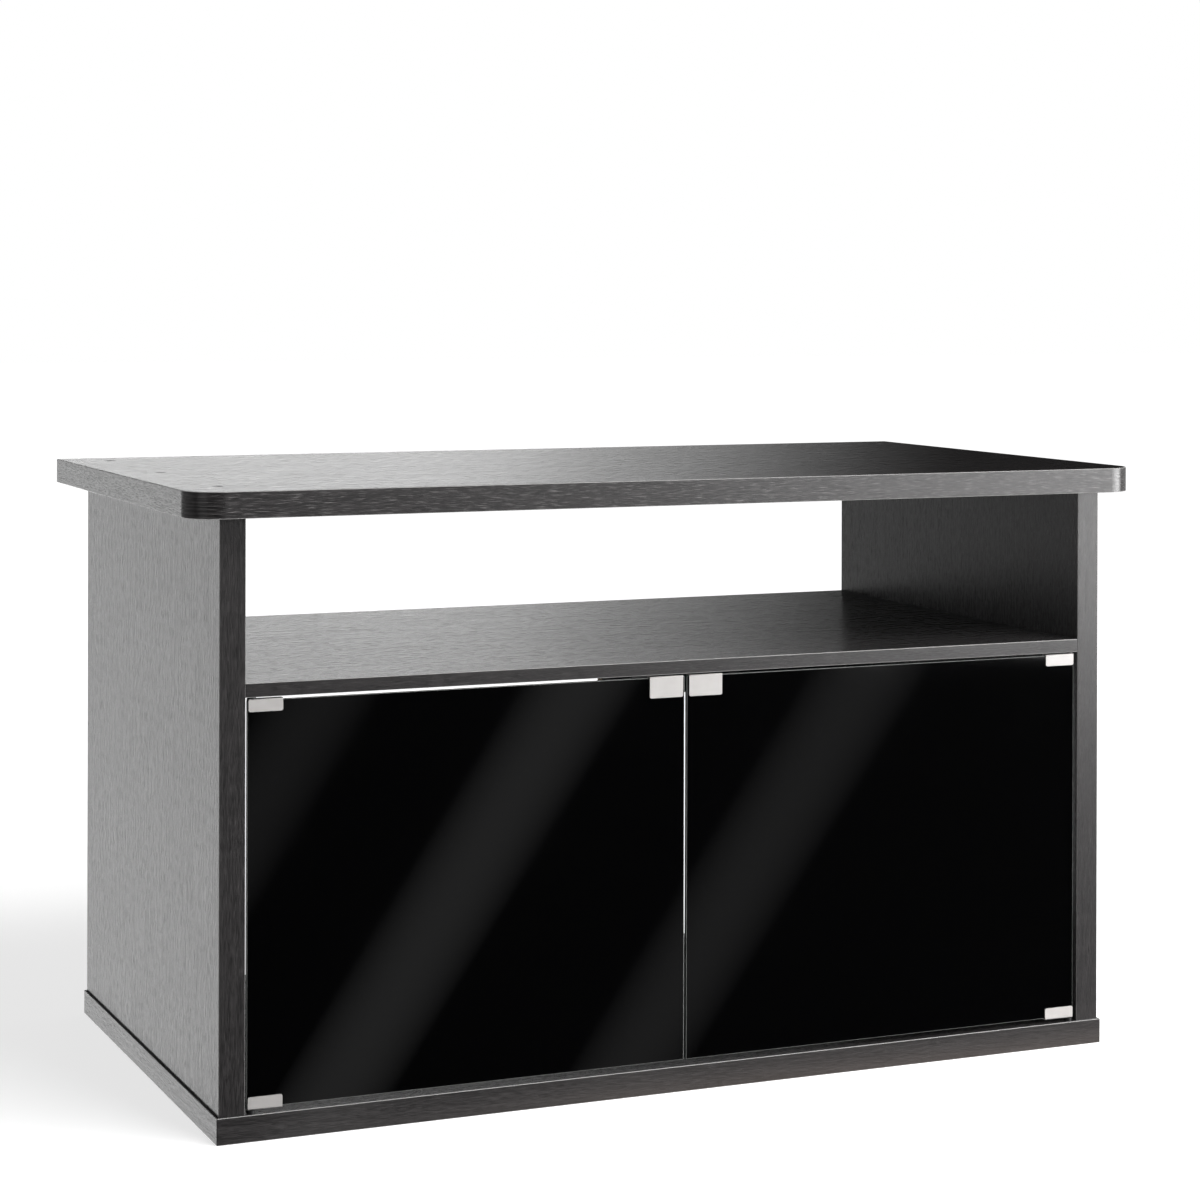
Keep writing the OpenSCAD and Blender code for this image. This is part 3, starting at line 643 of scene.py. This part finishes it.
# Light cards on the floor in front: x where y is 0, slope, half width there, its
# growth for each metre towards the front, and brightness.
CARDS = ((-0.883, -0.428, 0.067, 0.024, 0.18), (-0.618, -0.541, 0.068, 0.028, 0.33),
         (-0.289, -0.673, 0.074, 0.030, 0.24))
FOOT_REACH = 0.13  # how far a warm glow on the floor reaches in front of the base
FOOT_SPAN = (-0.75, 0.2)  # from where to where along x it rises
FOOT_GLOW = (1.0, 0.84, 0.75, 1)
FOOT_LEVEL = 1.35
PAPER = (0.8, 0.8, 0.8, 1)
NEAR_SHINE, FAR_SHINE = 0.72, 1.0  # light of the paper itself, for the camera
SHINE_REACH = (0.9, 2.4)  # metres from the cabinet between which it changes


def ray_is(graph, *kinds):
    """1 for rays of these kinds."""
    outputs = graph.add("ShaderNodeLightPath").outputs
    total = outputs[f"Is {kinds[0]} Ray"]
    for kind in kinds[1:]:
        total = graph.math("MAXIMUM", total, outputs[f"Is {kind} Ray"])
    return total


def backdrop_gloss(graph, x, y, z):
    """Mirrored light: a white backdrop behind the cabinet, and dark studio elsewhere."""
    turn = graph.math("MULTIPLY_ADD", graph.math("ARCTAN2", x, y), 1 / math.tau, 0.5)
    node = graph.add("ShaderNodeValToRGB", {"Fac": turn})
    stops = node.color_ramp.elements
    while len(stops) < len(BACKDROP):
        stops.new(0.5)
    for stop, (degrees, level) in zip(stops, BACKDROP):
        stop.position = 0.5 + degrees / 360
        stop.color = [level / BACKDROP_PEAK] * 3 + [1]
    level = graph.math("MULTIPLY", node.outputs["Color"], BACKDROP_PEAK)
    rise = graph.math("ARCSINE", z)
    low, high = (math.radians(angle) for angle in BACKDROP_RISE)
    level = graph.math("MULTIPLY", level, graph.step(rise, high, low))
    top, foot = (math.radians(angle) for angle in BACKDROP_FOOT)
    lift = graph.blend(graph.step(rise, top, foot), 1.0, BACKDROP_LIFT)
    return graph.math("MULTIPLY", level, lift)


def make_world():
    world = bpy.data.worlds.new("studio")
    bpy.context.scene.world = world
    world.use_nodes = True
    world.node_tree.nodes.clear()
    graph = Graph(world.node_tree)
    x, y, z = graph.split(graph.add("ShaderNodeTexCoord").outputs["Generated"])
    strength = graph.blend(ray_is(graph, "Glossy"), AMBIENT, backdrop_gloss(graph, x, y, z))
    strength = graph.blend(ray_is(graph, "Camera", "Transmission"), strength, 1.0)
    background = graph.add("ShaderNodeBackground", {"Color": (1, 1, 1, 1), "Strength": strength})
    output = graph.add("ShaderNodeOutputWorld")
    graph.put(output.inputs["Surface"], background.outputs[0])


def floor_cards(graph, x, y):
    """Brightness of the slanting light cards, each fading towards its sides."""
    total = 0.0
    for start, slope, width, growth, level in CARDS:
        middle = graph.math("MULTIPLY_ADD", y, slope, start)
        half = graph.math("MULTIPLY_ADD", y, -growth, width)
        across = graph.math("DIVIDE", graph.math("SUBTRACT", x, middle), half)
        dome = graph.math("SUBTRACT", 1.0, graph.math("MULTIPLY", across, across), clamp=True)
        total = graph.math("MULTIPLY_ADD", dome, level, total)
    return total


def lit_paper(graph, x, y):
    """White paper that keeps a soft shadow, and shines more further out."""
    paper = graph.add("ShaderNodeBsdfDiffuse", {"Color": PAPER})
    reach = graph.math("SQRT", graph.math("ADD", graph.math("MULTIPLY", x, x),
                                          graph.math("MULTIPLY", y, y)))
    seen = graph.blend(graph.step(reach, *SHINE_REACH), NEAR_SHINE, FAR_SHINE)
    shine = graph.math("MULTIPLY", ray_is(graph, "Camera"), seen)
    lit = graph.add("ShaderNodeAddShader")
    graph.put(lit.inputs[0], paper.outputs[0])
    graph.put(lit.inputs[1], graph.add("ShaderNodeEmission", {"Strength": shine}).outputs[0])
    return lit


def mirrored_floor(graph, x, y):
    """Light cards and a warm glow in front of the cabinet, and clear behind its front,
    so that the backdrop shows down to the feet."""
    foot = graph.math("MULTIPLY", graph.step(y, FRONT_Y - FOOT_REACH, FRONT_Y),
                      graph.step(x, *FOOT_SPAN))
    glow = graph.math("MULTIPLY", foot, FOOT_LEVEL)
    cards = graph.add("ShaderNodeEmission", {
        "Color": graph.colour_mix(foot, (1, 1, 1, 1), FOOT_GLOW),
        "Strength": graph.math("ADD", glow, floor_cards(graph, x, y))})
    clear = graph.add("ShaderNodeBsdfTransparent")
    return graph.mix_shader(graph.math("GREATER_THAN", y, FRONT_Y), cards, clear)


def floor_finish():
    """Lit paper, which mirrors show as another floor."""
    made, graph, surface = blank_material("paper_floor")
    x, y, _ = graph.place()
    mixed = graph.mix_shader(ray_is(graph, "Glossy"), lit_paper(graph, x, y),
                             mirrored_floor(graph, x, y))
    graph.put(surface, mixed.outputs[0])
    return made


def make_floor():
    mesh = bpy.data.meshes.new("floor")
    corners = [(-FLOOR_HALF, -FLOOR_HALF, 0), (FLOOR_HALF, -FLOOR_HALF, 0),
               (FLOOR_HALF, FLOOR_HALF, 0), (-FLOOR_HALF, FLOOR_HALF, 0)]
    mesh.from_pydata(corners, [], [(0, 1, 2, 3)])
    floor = bpy.data.objects.new("floor", mesh)
    bpy.context.scene.collection.objects.link(floor)
    mesh.materials.append(floor_finish())


def area_lamp(name, place, target, size, watts):
    data = bpy.data.lights.new(name, "AREA")
    data.shape = "RECTANGLE"
    data.size, data.size_y = size
    data.energy = watts
    lamp = bpy.data.objects.new(name, data)
    aim = (Vector(target) - Vector(place)).to_track_quat("-Z", "Y")
    lamp.matrix_world = Matrix.Translation(place) @ aim.to_matrix().to_4x4()
    bpy.context.scene.collection.objects.link(lamp)


LAMP_TARGET = (0.1, 0.0, 0.4)
LAMP_DISTANCE = 4.2
# Each softbox: degrees to the right of the front, degrees up, width, height, watts.
LAMPS = (("top_front", 30, 50, 3.2, 1.2, 110), ("key_front", 30, 15, 3.2, 1.2, 38),
         ("key_tall", 45, 5.5, 0.8, 1.6, 31), ("key_low", 35, 4.2, 1.6, 1.42, 27),
         ("side_right", 60, 4.2, 1.6, 1.42, 100), ("fill_left", -60, 4.2, 1.6, 1.42, 4))


def make_lamps():
    for name, turn, rise, width, height, watts in LAMPS:
        turn, rise = math.radians(turn), math.radians(rise)
        away = Vector((math.sin(turn) * math.cos(rise), -math.cos(turn) * math.cos(rise),
                       math.sin(rise)))
        place = Vector(LAMP_TARGET) + LAMP_DISTANCE * away
        area_lamp(name, place, LAMP_TARGET, (width, height), watts)


# ---- Scene ---------------------------------------------------------------------------

make_camera()
glass_finish = black_glass()
make_bands()
make_glass(glass_finish)
paint_boards()
paint_fittings(glass_finish)
soften_fittings()
make_world()
make_floor()
make_lamps()
bpy.context.scene.view_settings.view_transform = "Standard"

bpy.context.view_layer.update()
